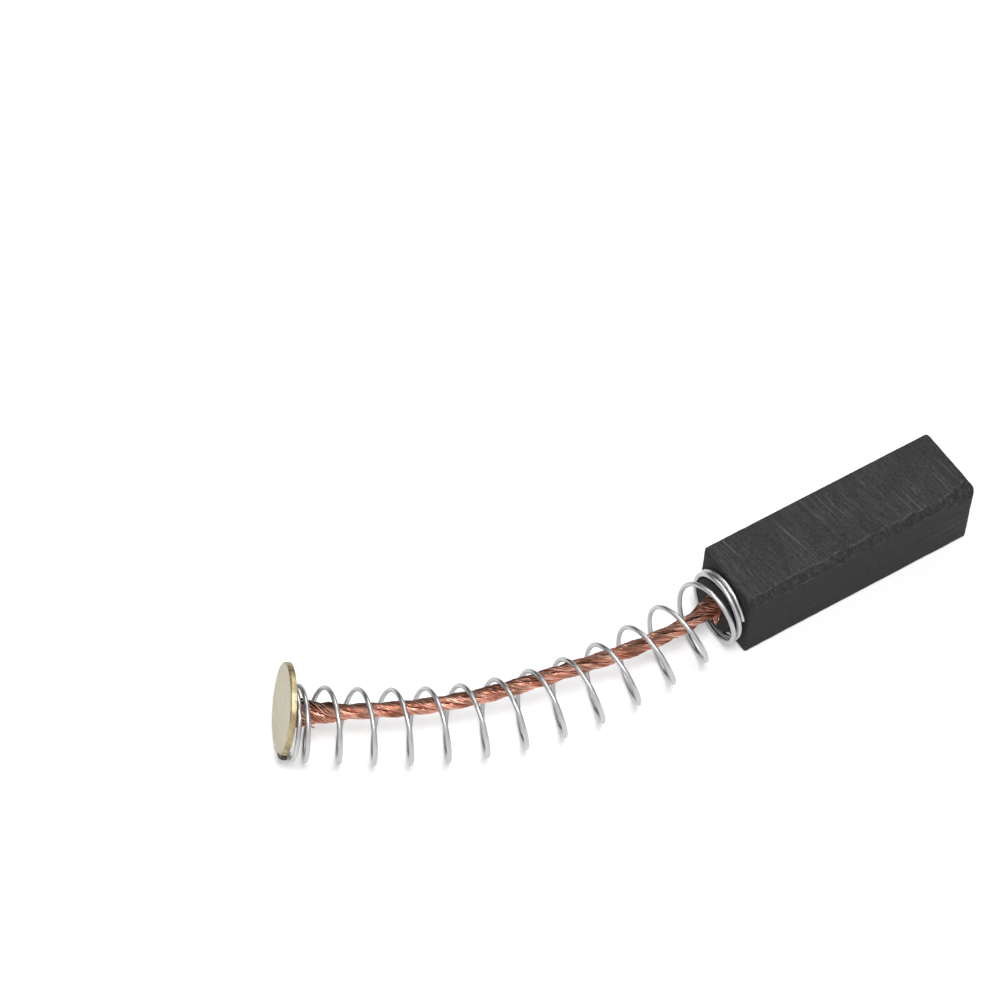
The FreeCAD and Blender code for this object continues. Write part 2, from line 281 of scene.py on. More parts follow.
def add_mesh(bm, other):
    """Adds another mesh, with its attributes, and frees it."""
    mesh = bpy.data.meshes.new("part")
    other.to_mesh(mesh)
    other.free()
    bm.from_mesh(mesh)
    bpy.data.meshes.remove(mesh)


def new_material(name):
    material = bpy.data.materials.new(name)
    material.use_nodes = True
    tree = material.node_tree
    return material, tree, tree.nodes["Principled BSDF"]


def add_node(tree, kind, inputs=None, **settings):
    """Adds a shader node. An input is a number or colour, or the socket that feeds it."""
    node = tree.nodes.new(kind)
    for key, value in settings.items():
        setattr(node, key, value)
    for key, value in (inputs or {}).items():
        if isinstance(value, bpy.types.NodeSocket):
            tree.links.new(value, node.inputs[key])
        else:
            node.inputs[key].default_value = value
    return node


def ramp(tree, socket, stops):
    """Maps a value to greys or colours by a few stops of (position, colour)."""
    node = add_node(tree, "ShaderNodeValToRGB", {"Fac": socket})
    while len(node.color_ramp.elements) < len(stops):
        node.color_ramp.elements.new(0.5)
    for element, (position, colour) in zip(node.color_ramp.elements, stops):
        element.position = position
        if isinstance(colour, (int, float)):
            colour = (colour, colour, colour, 1)
        element.color = colour
    return node.outputs["Color"]


def blend_colours(tree, factor, first, second, how="MIX"):
    node = tree.nodes.new("ShaderNodeMix")
    node.data_type = "RGBA"
    node.blend_type = how
    for socket, value in ((node.inputs[0], factor), (node.inputs[6], first), (node.inputs[7], second)):
        if isinstance(value, bpy.types.NodeSocket):
            tree.links.new(value, socket)
        else:
            socket.default_value = value
    return node.outputs[2]


def noise_texture(tree, coordinates, scale, stretch=(1, 1, 1), turn=0.0, detail=4, roughness=0.6):
    """Noise on coordinates in metres or millimetres, turned about Z and stretched first."""
    turned = add_node(tree, "ShaderNodeMapping", {
        "Vector": coordinates, "Rotation": (0, 0, turn),
    }).outputs["Vector"]
    stretched = add_node(tree, "ShaderNodeMapping", {
        "Vector": turned, "Scale": stretch,
    }).outputs["Vector"]
    texture = add_node(tree, "ShaderNodeTexNoise", {
        "Vector": stretched, "Scale": scale, "Detail": detail, "Roughness": roughness,
    })
    return texture.outputs["Fac"]


def bump(tree, height, strength, distance, normal_before=None):
    inputs = {"Height": height, "Strength": strength, "Distance": distance}
    if normal_before:
        inputs["Normal"] = normal_before
    return add_node(tree, "ShaderNodeBump", inputs).outputs["Normal"]


# %% [markdown]
# ## Material of the pressed carbon
# Brush carbon is dark grey and nearly matt, with a weak sheen of graphite. Its top
# and underside were ground across their width, so fine pale scratches run there,
# a little slanted. Pores show as dark dots, and broken edges look paler.

# %% Carbon material
carbon, tree, shader = new_material("pressed_carbon")
place = add_node(tree, "ShaderNodeTexCoord").outputs["Object"]
mm = add_node(tree, "ShaderNodeVectorMath", {0: place, 1: (1000, 1000, 1000)},
              operation="MULTIPLY").outputs["Vector"]
drift = noise_texture(tree, mm, 0.12, detail=1)
bent = add_node(tree, "ShaderNodeVectorMath", {0: mm, 1: add_node(
    tree, "ShaderNodeCombineXYZ", {"X": drift}).outputs["Vector"]}, operation="ADD").outputs["Vector"]
facing = add_node(tree, "ShaderNodeNewGeometry").outputs["Normal"]
facing_z = add_node(tree, "ShaderNodeSeparateXYZ", {"Vector": facing}).outputs["Z"]
ground = ramp(tree, add_node(tree, "ShaderNodeMath", {0: facing_z}, operation="ABSOLUTE").outputs[0],
              [(0.75, 0), (0.9, 1)])
facing_y = add_node(tree, "ShaderNodeSeparateXYZ", {"Vector": facing}).outputs["Y"]
flank = ramp(tree, add_node(tree, "ShaderNodeMath", {0: facing_y}, operation="ABSOLUTE").outputs[0],
             [(0.75, 0), (0.9, 1)])

grain = noise_texture(tree, mm, 5.0, detail=8, roughness=0.85)
mottle = noise_texture(tree, mm, 0.55, detail=3)
wide_scratch = noise_texture(tree, bent, 1.0, (4.0, 0.25, 0.5), math.radians(-4), 9, 0.85)
fine_scratch = noise_texture(tree, bent, 1.0, (11.0, 0.7, 0.5), math.radians(-4.5), 8, 0.8)
stray_scratch = noise_texture(tree, bent, 1.0, (9.0, 0.16, 0.5), math.radians(-6), 3, 0.5)
flank_scratch = noise_texture(tree, mm, 1.0, (0.16, 8.0, 9.0), 0.0, 5, 0.7)

base = ramp(tree, grain, [(0.34, (0.009, 0.0095, 0.011, 1)), (0.5, (0.026, 0.0265, 0.028, 1)),
                          (0.66, (0.066, 0.066, 0.067, 1))])
base = blend_colours(tree, ramp(tree, mottle, [(0.35, 0.0), (0.7, 0.35)]), base, (0.038, 0.038, 0.039, 1))
# Painted shade: the two sides facing along Y are darkened below the top and underside.
base = blend_colours(tree, blend_colours(tree, 1.0, flank, (0.42, 0.42, 0.42, 1), "MULTIPLY"), base,
                     (0.016, 0.0165, 0.018, 1))
streaks = ramp(tree, wide_scratch, [(0.50, 0.0), (0.60, 0.30), (0.70, 0.85)])
hairs = ramp(tree, fine_scratch, [(0.50, 0.0), (0.60, 0.30), (0.70, 0.9)])
strays = ramp(tree, stray_scratch, [(0.64, 0.0), (0.69, 0.7)])
streaks = blend_colours(tree, 1.0, streaks, hairs, "LIGHTEN")
streaks = blend_colours(tree, 1.0, streaks, strays, "LIGHTEN")
patchy = noise_texture(tree, mm, 0.35, (1, 0.6, 1), 0.0, 4, 0.6)
streaks = blend_colours(tree, 1.0, streaks, ramp(tree, patchy, [(0.40, 0.30), (0.62, 1.0)]), "MULTIPLY")
streaks = blend_colours(tree, 1.0, streaks, ground, "MULTIPLY")
colour = blend_colours(tree, streaks, base, (0.125, 0.125, 0.122, 1))
along_x = add_node(tree, "ShaderNodeSeparateXYZ", {"Vector": mm}).outputs["X"]
from_end = add_node(tree, "ShaderNodeMath", {0: along_x, 1: -9.0}, operation="DIVIDE").outputs[0]
side_lines = ramp(tree, flank_scratch, [(0.50, 0.0), (0.62, 0.6), (0.7, 1.0)])
side_lines = blend_colours(tree, 1.0, side_lines, ramp(tree, from_end, [(0.0, 0.9), (0.5, 0.5), (1.0, 0.12)]),
                           "MULTIPLY")
side_lines = blend_colours(tree, 1.0, side_lines, flank, "MULTIPLY")
colour = blend_colours(tree, side_lines, colour, (0.085, 0.085, 0.088, 1))

pores = add_node(tree, "ShaderNodeTexVoronoi", {"Vector": mm, "Scale": 2.4, "Randomness": 1.0})
pore_mask = ramp(tree, pores.outputs["Distance"], [(0.06, 1.0), (0.12, 0.0)])
colour = blend_colours(tree, pore_mask, colour, (0.006, 0.006, 0.006, 1))
broken = add_node(tree, "ShaderNodeAttribute", attribute_name="broken").outputs["Fac"]
flakes = noise_texture(tree, bent, 1.0, (3.4, 2.4, 2.4), math.radians(-4), 8, 0.8)
flake_colour = ramp(tree, flakes, [(0.38, (0.016, 0.0165, 0.018, 1)), (0.52, (0.038, 0.0385, 0.040, 1)),
                                   (0.66, (0.100, 0.100, 0.100, 1))])
colour = blend_colours(tree, ramp(tree, broken, [(0.0, 0.0), (1.0, 0.75)]), colour, flake_colour)
# Painted highlight: a pale line where the broken strip meets the top and front faces, broken up by noise.
painted_edge_highlight = add_node(tree, "ShaderNodeAttribute", attribute_name="painted_edge_highlight").outputs["Fac"]
gaps = noise_texture(tree, mm, 1.3, (1, 1, 1), 0.0, 6, 0.75)
painted_edge_highlight = blend_colours(tree, 1.0, painted_edge_highlight, ramp(tree, gaps, [(0.42, 0.0), (0.62, 0.85)]), "MULTIPLY")
colour = blend_colours(tree, painted_edge_highlight, colour, (0.135, 0.135, 0.132, 1))

axis_place = add_node(tree, "ShaderNodeVectorMath", {0: mm, 1: (0, 1, 1)}, operation="MULTIPLY")
from_axis = add_node(tree, "ShaderNodeVectorMath", {0: axis_place.outputs["Vector"]},
                     operation="LENGTH").outputs["Value"]
behind = add_node(tree, "ShaderNodeMath", {0: along_x, 1: -22.3}, operation="LESS_THAN").outputs[0]
near_hole = ramp(tree, add_node(tree, "ShaderNodeMath", {0: from_axis, 1: 2.6},
                                operation="DIVIDE").outputs[0], [(0.38, 1.0), (0.72, 0.0)])
specks = noise_texture(tree, mm, 7.0, detail=3)
dusty = ramp(tree, specks, [(0.50, 0.0), (0.62, 0.7)])
dusty = blend_colours(tree, 1.0, dusty, near_hole, "MULTIPLY")
dusty = blend_colours(tree, 1.0, dusty, behind, "MULTIPLY")
# Painted shade: the boss behind the shoulder, where the coils shade it, is darkened towards black.
painted_boss_shade = blend_colours(tree, 1.0, behind, (0.6, 0.6, 0.6, 1), "MULTIPLY")
colour = blend_colours(tree, painted_boss_shade, colour, (0.006, 0.0055, 0.006, 1))
colour = blend_colours(tree, dusty, colour, (0.16, 0.062, 0.036, 1))
tree.links.new(colour, shader.inputs["Base Color"])
tree.links.new(ramp(tree, streaks, [(0.0, 0.72), (1.0, 0.5)]), shader.inputs["Roughness"])
shader.inputs["Specular IOR Level"].default_value = 0.2
relief = bump(tree, grain, 0.5, 0.00003)
relief = bump(tree, wide_scratch, 0.35, 0.00006, relief)
relief = bump(tree, pore_mask, -0.6, 0.00005, relief)
chips = add_node(tree, "ShaderNodeMath", {0: flakes, 1: broken}, operation="MULTIPLY").outputs[0]
relief = bump(tree, chips, 0.8, 0.00012, relief)
tree.links.new(relief, shader.inputs["Normal"])
print("carbon material has", len(tree.nodes), "nodes")

# %% [markdown]
# ## The carbon block
# The block is sawn from a pressed plate and ground, so its faces are flat, but its
# edges break. A plain cube cut into fine strips gives enough vertices to wear the
# edges away: near each edge the corner is cut back to a width that noise varies.

# %% Carbon block
def edge_width(place, kind):
    """How far from the corner an edge is broken, at a place along it."""
    wave = noise.noise(Vector((place * 0.45, kind * 7.3, 1.7)))
    flake = noise.noise(Vector((place * 1.6, kind * 3.1, 5.2)))
    chip = max(0.0, noise.noise(Vector((place * 1.1, kind * 5.7, 9.4))) - 0.25)
    base, swing = EDGE_WEAR[kind]
    if kind == FRONT_TOP:
        base += 0.45 * smoothstep((place + 3.5) / 3.5)
    crumb = noise.noise(Vector((place * 5.0, kind * 2.9, 3.3)))
    return max(base + swing * (wave + 0.5 * flake + 0.35 * crumb) + 2 * swing * chip, 0.05)


FRONT_TOP, BACK_TOP, FRONT_BOTTOM, BACK_BOTTOM, RUNNING, RUNNING_UNDER, SHOULDER = range(7)
EDGE_WEAR = {
    FRONT_TOP: (0.62, 0.18), BACK_TOP: (0.16, 0.05), FRONT_BOTTOM: (0.24, 0.08), BACK_BOTTOM: (0.25, 0.08),
    RUNNING: (0.60, 0.08), RUNNING_UNDER: (0.40, 0.08), SHOULDER: (0.36, 0.06),
}


def cut_corner(a, b, width):
    """Distances from two faces once the corner between them is broken off flat."""
    cut = width - (a + b)
    return (a + cut / 2, b + cut / 2, cut) if cut > 0 else (a, b, 0.0)


def round_corner(a, b, radius):
    """Distances from two faces once the corner between them is rubbed round."""
    if a >= radius or b >= radius:
        return a, b, 0.0
    reach = math.hypot(radius - a, radius - b)
    if reach <= radius:
        return a, b, 0.0
    shrink = radius / reach
    return radius - (radius - a) * shrink, radius - (radius - b) * shrink, reach - radius


def wear_side(co, sign_y, sign_z, kind):
    """Wears one long edge. The one at the front and top is broken, the others are rubbed."""
    a = BLOCK_WIDTH / 2 - sign_y * co.y
    b = BLOCK_HEIGHT / 2 - sign_z * co.z
    wear = cut_corner if kind == FRONT_TOP else round_corner
    width = edge_width(co.x, kind)
    # Marks where the broken strip meets the faces, for a painted highlight.
    painted_edge_highlight = max(0.0, 1 - abs(a + b - width) / 0.11) if kind == FRONT_TOP else 0.0
    a, b, worn = wear(a, b, width)
    co.y = sign_y * (BLOCK_WIDTH / 2 - a)
    co.z = sign_z * (BLOCK_HEIGHT / 2 - b)
    return worn, painted_edge_highlight


def wear_end(co, at_running, axis_index, sign, half):
    """Wears the edge between an end of the block and one of its sides."""
    a = -co.x if at_running else co.x + BLOCK_LENGTH
    b = half - sign * co[axis_index]
    kind = RUNNING if at_running else SHOULDER
    if at_running and axis_index == 2 and sign < 0:
        kind = RUNNING_UNDER
    width = edge_width(co[3 - axis_index] + 11 * sign + 5 * axis_index, kind)
    a, b, worn = round_corner(a, b, width)
    co.x = -a if at_running else a - BLOCK_LENGTH
    co[axis_index] = sign * (half - b)
    return worn


def cut_positions(length, pitch, fine, margin):
    """Where to cut a side of that length: finely near both ends, coarser between."""
    places = []
    place = fine
    while place < length - fine / 2:
        places.append(place)
        near_end = min(place, length - place) < margin
        place += fine if near_end else pitch
    return places


bm = bmesh.new()
bmesh.ops.create_cube(bm, size=1)
bmesh.ops.scale(bm, vec=(BLOCK_LENGTH, BLOCK_WIDTH, BLOCK_HEIGHT), verts=bm.verts)
bmesh.ops.translate(bm, vec=(-BLOCK_LENGTH / 2, 0, 0), verts=bm.verts)
cuts = [("x", -BLOCK_LENGTH + p) for p in cut_positions(BLOCK_LENGTH, pitch=0.16, fine=0.09, margin=0.8)]
cuts += [("y", -BLOCK_WIDTH / 2 + p) for p in cut_positions(BLOCK_WIDTH, pitch=0.4, fine=0.1, margin=1.0)]
cuts += [("z", -BLOCK_HEIGHT / 2 + p) for p in cut_positions(BLOCK_HEIGHT, pitch=0.4, fine=0.1, margin=1.0)]
directions = {"x": (1, 0, 0), "y": (0, 1, 0), "z": (0, 0, 1)}
for axis, place_there in cuts:
    direction = Vector(directions[axis])
    bmesh.ops.bisect_plane(bm, geom=list(bm.verts) + list(bm.edges) + list(bm.faces),
                           plane_co=direction * place_there, plane_no=direction)
broken_layer = bm.verts.layers.float.new("broken")
painted_edge_highlight_layer = bm.verts.layers.float.new("painted_edge_highlight")
for vert in bm.verts:
    co = vert.co
    worn = 0.0
    for sign_y, sign_z, kind in ((-1, 1, FRONT_TOP), (1, 1, BACK_TOP),
                                 (-1, -1, FRONT_BOTTOM), (1, -1, BACK_BOTTOM)):
        cut, painted_edge_highlight = wear_side(co, sign_y, sign_z, kind)
        worn = max(worn, cut)
        vert[painted_edge_highlight_layer] = max(vert[painted_edge_highlight_layer], painted_edge_highlight)
    for at_running in (True, False):
        for sign in (-1, 1):
            worn = max(worn, wear_end(co, at_running, 1, sign, BLOCK_WIDTH / 2))
            worn = max(worn, wear_end(co, at_running, 2, sign, BLOCK_HEIGHT / 2))
    if worn > 0:
        rough = noise.noise(co * 5.0) * 0.02 + noise.noise(co * 14.0) * 0.006
        inward = Vector((0, -co.y, -co.z)).normalized()
        vert.co = co + inward * abs(rough)
        vert[broken_layer] = min(1.0, worn * 9)

MOUTH = -BLOCK_LENGTH - BOSS_LENGTH
boss_profile = [
    (-BLOCK_LENGTH + 0.3, 0, BOSS_RADIUS), (MOUTH + 0.10, 0, BOSS_RADIUS),
    (MOUTH + 0.03, 0, BOSS_RADIUS - 0.03), (MOUTH, 0, BOSS_RADIUS - 0.12),
    (MOUTH, 0, 1.7), (MOUTH, 0, HOLE_RADIUS + 0.08),
    (MOUTH + 0.06, 0, HOLE_RADIUS), (MOUTH + 1.4, 0, HOLE_RADIUS),
]
bm_boss = spin_profile(boss_profile, (1, 0, 0), 96)
bmesh.ops.recalc_face_normals(bm_boss, faces=bm_boss.faces)
add_mesh(bm, bm_boss)
finish_piece(bm, "pressed_carbon_block", "brush", carbon, "carbon_block", 25)

# %% [markdown]
# ## Copper and graphite powder in the hole
# The lead has no screw or solder in the carbon: powder is rammed round it in a
# drilled hole. Its surface lies a little below the boss's face and looks crumbly,
# so a fine disc with a rough, uneven height stands for it.

# %% Powder material and piece
powder, tree, shader = new_material("tamped_powder")
place = add_node(tree, "ShaderNodeTexCoord").outputs["Object"]
crumbs = noise_texture(tree, place, 9000.0, detail=5, roughness=0.75)
colour = ramp(tree, crumbs, [(0.35, (0.035, 0.026, 0.024, 1)), (0.5, (0.17, 0.075, 0.045, 1)),
                             (0.64, (0.46, 0.20, 0.12, 1))])
tree.links.new(colour, shader.inputs["Base Color"])
tree.links.new(ramp(tree, crumbs, [(0.45, 0.0), (0.62, 0.8)]), shader.inputs["Metallic"])
shader.inputs["Roughness"].default_value = 0.6
tree.links.new(bump(tree, crumbs, 0.8, 0.00005), shader.inputs["Normal"])

POWDER_RINGS = 16
powder_profile = [
    (MOUTH + 0.12, 0, 0.06 + (HOLE_RADIUS - 0.08) * i / POWDER_RINGS) for i in range(POWDER_RINGS + 1)
]
bm = spin_profile(powder_profile, (1, 0, 0), 72)
for vert in bm.verts:
    lump = noise.noise(vert.co * 4.2) * 0.07 + noise.noise(vert.co * 11.0) * 0.035
    vert.co.x += 0.03 + lump
bmesh.ops.solidify(bm, geom=list(bm.faces), thickness=0.2)
finish_piece(bm, "tamped_powder_plug", "brush", powder, "tamping_plug", 60)

# %% [markdown]
# ## The steel spring
# Spring wire is drawn through a die, which leaves it bright with hair lines along
# its length. It is wound close for a turn or two at each end, so that it stands
# flat on the block and on the cap, and open between them.

# %% Spring material
steel, tree, shader = new_material("drawn_spring_wire")
bar_place = add_node(tree, "ShaderNodeAttribute", attribute_name="bar_place").outputs["Vector"]
hair_lines = noise_texture(tree, bar_place, 1.0, (7.0, 7.0, 0.35), 0.0, 5, 0.65)
patches = noise_texture(tree, bar_place, 1.0, (0.6, 0.6, 0.5), 0.0, 3, 0.5)
colour = ramp(tree, hair_lines, [(0.35, (0.38, 0.385, 0.39, 1)), (0.52, (0.52, 0.525, 0.53, 1)),
                                 (0.7, (0.66, 0.66, 0.66, 1))])
tree.links.new(colour, shader.inputs["Base Color"])
shader.inputs["Metallic"].default_value = 1.0
tree.links.new(ramp(tree, patches, [(0.35, 0.28), (0.7, 0.42)]), shader.inputs["Roughness"])
tree.links.new(bump(tree, hair_lines, 0.12, 0.00001), shader.inputs["Normal"])

# %% [markdown]
# The pitch isn't even: the coils open over a bit more than a turn, stay open, and
# close again at the cap. The stations add up small steps of that pitch and are
# then scaled, so that the wire ends exactly where the cap's inner face is.

# %% Spring
STEPS_PER_TURN = 40
SPRING_WIRE_SIDES = 14


def spring_stations(steps_per_turn):
    """Turn numbers and stations of the wire's centre from the block to the cap."""
    open_to = COIL_TURNS - CLOSED_TURNS_AT_CAP

    def opening(turn):
        along = (turn - CLOSED_TURNS_AT_BLOCK) / (open_to - CLOSED_TURNS_AT_BLOCK)
        taper = mix(1.0, PITCH_RATIO_CAP_TO_BLOCK, min(max(along, 0.0), 1.0))
        rise = smoothstep((turn - CLOSED_TURNS_AT_BLOCK) / RAMP_TURNS)
        fall = smoothstep((open_to - turn) / RAMP_TURNS)
        return taper * rise * fall

    count = round(COIL_TURNS * steps_per_turn)
    step = COIL_TURNS / count
    summed = [0.0]
    for i in range(count):
        summed.append(summed[-1] + opening((i + 0.5) * step) * step)
    open_length = LAST_WIRE_STATION - FIRST_WIRE_STATION - CLOSED_PITCH * COIL_TURNS
    scale = open_length / summed[-1]
    return [
        (i * step, FIRST_WIRE_STATION + CLOSED_PITCH * i * step + scale * summed[i])
        for i in range(count + 1)
    ]


points = []
outs = []
for turn, station in spring_stations(STEPS_PER_TURN):
    angle = 2 * math.pi * (turn - TURNS_INWARD_OF_FIRST_TOP)
    _, side, up = coil_plane(station)
    out = up * math.cos(angle) + side * math.sin(angle)
    points.append(line_centre(station) + out * COIL_RADIUS)
    outs.append(out)
radii = [WIRE_RADIUS] * len(points)
bm = sweep(points, outs, radii, SPRING_WIRE_SIDES)
end_faces = [face for face in bm.faces if len(face.verts) == SPRING_WIRE_SIDES]
end_edges = list({edge for face in end_faces for edge in face.edges})
bmesh.ops.bevel(bm, geom=end_edges, offset=0.03, segments=2, profile=0.5, affect="EDGES")
finish_piece(bm, "compression_spring_wire", "brush", steel, "compression_spring")
wire_length = sum((b - a).length for a, b in zip(points[:-1], points[1:]))
print(f"the spring's wire is {wire_length:.1f} mm long")

# %% [markdown]
# ## The copper lead
# The lead is a rope of four bunches, and each bunch is a twist of fine wires. The
# bunches turn round the lead, and the wires turn the same way in each bunch, which
# keeps the lead limp and gives it its slanted look. Painted shade darkens its upper side.

# %% Copper material
copper, tree, shader = new_material("copper_wires")
bar_place = add_node(tree, "ShaderNodeAttribute", attribute_name="bar_place").outputs["Vector"]
tone = add_node(tree, "ShaderNodeAttribute", attribute_name="wire_tone").outputs["Fac"]
place = add_node(tree, "ShaderNodeTexCoord").outputs["Object"]
tarnish = noise_texture(tree, place, 700.0, detail=4, roughness=0.6)
draw_lines = noise_texture(tree, bar_place, 1.0, (5.0, 5.0, 0.8), 0.0, 4, 0.6)
colour = ramp(tree, tone, [(0.0, (0.42, 0.150, 0.092, 1)), (0.5, (0.76, 0.350, 0.250, 1)),
                           (1.0, (0.98, 0.74, 0.60, 1))])
colour = blend_colours(tree, ramp(tree, tarnish, [(0.38, 0.5), (0.58, 0.0)]), colour, (0.15, 0.055, 0.036, 1))
colour = blend_colours(tree, ramp(tree, draw_lines, [(0.5, 0.0), (0.75, 0.6)]), colour, (0.94, 0.62, 0.49, 1))
# Painted shade: wires deep inside the lead, between its bunches, are darkened.
painted_crevice_shade = add_node(tree, "ShaderNodeAttribute", attribute_name="painted_crevice_shade").outputs["Fac"]
colour = blend_colours(tree, ramp(tree, painted_crevice_shade, [(0.06, 0.0), (0.42, 0.88)]), colour, (0.085, 0.029, 0.018, 1))
# Painted shade: wires on the lead's upper side are darkened to dark brown.
painted_top_shade = add_node(tree, "ShaderNodeAttribute", attribute_name="painted_top_shade").outputs["Fac"]
colour = blend_colours(tree, ramp(tree, painted_top_shade, [(0.0, 0.0), (1.0, 0.80)]), colour, (0.085, 0.042, 0.030, 1))
tree.links.new(colour, shader.inputs["Base Color"])
shader.inputs["Metallic"].default_value = 1.0
tree.links.new(ramp(tree, tarnish, [(0.35, 0.44), (0.7, 0.27)]), shader.inputs["Roughness"])
tree.links.new(bump(tree, draw_lines, 0.2, 0.000008), shader.inputs["Normal"])

# %% [markdown]
# Each fine wire is swept along its own path: round its bunch, which goes round the
# lead, which lies loosely in the spring. At both ends the bunches open up, and a
# few wires have sprung out. The middle of each bunch is one thicker filler wire.

# %% Wires of the lead
def lead_offset(station):
    """How far the lead lies from the middle of the coils, sideways and upward."""
    _, side, up = coil_plane(LINE_LENGTH)
    to_cap = CAP_CENTRE - line_centre(LINE_LENGTH)
    end = (to_cap.dot(side), to_cap.dot(up))
    start = (-LINE_START[1], -LINE_HEIGHT)
    peak = (LEAD_PEAK_REACH * math.cos(LEAD_PEAK_ANGLE), LEAD_PEAK_REACH * math.sin(LEAD_PEAK_ANGLE))
    if station <= LEAD_PEAK_STATION:
        share = smoothstep(station / LEAD_PEAK_STATION)
        return [mix(a, b, share) for a, b in zip(start, peak)]
    share = smoothstep((station - LEAD_PEAK_STATION) / (LINE_LENGTH - LEAD_PEAK_STATION))
    across, rise = [mix(a, b, share) for a, b in zip(peak, end)]
    near_cap = 1 - smoothstep((LINE_LENGTH - station) / LEAD_OFFSET_LENGTH)
    return across + LEAD_SIDE_OFFSET_AT_CAP * near_cap, rise


def lead_centre(station):
    """Middle of the lead. In the hole it runs straight."""
    straight = Vector((-BLOCK_LENGTH - station, 0, 0))
    if station <= BOSS_LENGTH:
        return straight
    _, side, up = coil_plane(station)
    across, rise = lead_offset(station)
    laid = line_centre(station) + side * across + up * rise
    return straight.lerp(laid, smoothstep((station - BOSS_LENGTH) / SPLAY_LENGTH_AT_BOSS))


def strand_centre(index, station):
    twist = 2 * math.pi * (station / LAY_LENGTH + index / STRANDS)
    ring = STRAND_RING
    ring += SPLAY_AT_CAP * (1 - smoothstep((LEAD_END - station) / SPLAY_LENGTH_AT_CAP))
    ring += SPLAY_AT_BOSS * (1 - smoothstep(abs(station - BOSS_LENGTH) / SPLAY_LENGTH_AT_BOSS))
    _, side, up = coil_plane(station)
    around = up * math.cos(twist) + side * math.sin(twist)
    return lead_centre(station) + around * ring, around


def add_wire(bm, wire_bm, tone):
    """Adds a swept wire to its strand, with its tone and its painted shade inside the lead and on top."""
    place = wire_bm.verts.layers.float_vector["bar_place"]
    painted_crevice_shade = wire_bm.verts.layers.float.new("painted_crevice_shade")
    painted_top_shade = wire_bm.verts.layers.float.new("painted_top_shade")
    for vert in wire_bm.verts:
        station = LEAD_START + vert[place].z / LAY_STRETCH
        reach = (vert.co - lead_centre(station)) / LEAD_RADIUS
        # Painted shade is strongest near the lead's middle and fades outward.
        vert[painted_crevice_shade] = 1 - smoothstep((reach.length - 0.45) / 0.5)
        # Painted shade on the upper side, its edge moved along the lead by noise.
        patch = 0.3 * noise.noise(Vector((station * 0.55, 3.1, 8.4)))
        vert[painted_top_shade] = smoothstep((reach.dot(PAINTED_TOP_SHADE_SIDE) - 0.32 + patch) / 0.4)
    before = len(bm.verts)
    add_mesh(bm, wire_bm)
    bm.verts.ensure_lookup_table()
    tone_layer = bm.verts.layers.float["wire_tone"]
    for vert in bm.verts[before:]:
        vert[tone_layer] = tone


def loose_wire(station, angle, reach, drift):
    """A wire that has sprung out of the lead. It leaves along the lead and curls away."""
    normal, side, up = coil_plane(station)
    away = up * math.cos(angle) + side * math.sin(angle)
    ahead = normal if drift > 0 else -normal
    corners = [
        lead_centre(station) + away * 0.55,
        lead_centre(station) + away * (0.6 + 0.7 * reach) + ahead * abs(drift) * 0.3,
        lead_centre(station) + away * (0.6 + reach) + ahead * abs(drift),
    ]
    steps = 10
    line = []
    for i in range(steps + 1):
        t = i / steps
        line.append(corners[0] * (1 - t) ** 2 + corners[1] * 2 * t * (1 - t) + corners[2] * t * t)
    return line


# Station, angle from up towards the side, reach and drift along the lead
LOOSE_WIRES = [
    [(0.90, 205, 0.55, 0.30), (0.95, 222, 0.70, 0.45), (36.2, 236, 0.50, -0.80)],
    [(0.85, 232, 0.60, 0.25), (1.00, 246, 0.40, 0.55)],
    [(0.95, 214, 0.35, 0.60), (0.90, 258, 0.45, 0.30), (1.25, 20, 0.20, 0.9)],
    [(1.00, 238, 0.75, 0.50), (36.6, 200, 0.30, -0.5)],
]

LEAD_RADIUS = STRAND_RING + STRAND_RADIUS
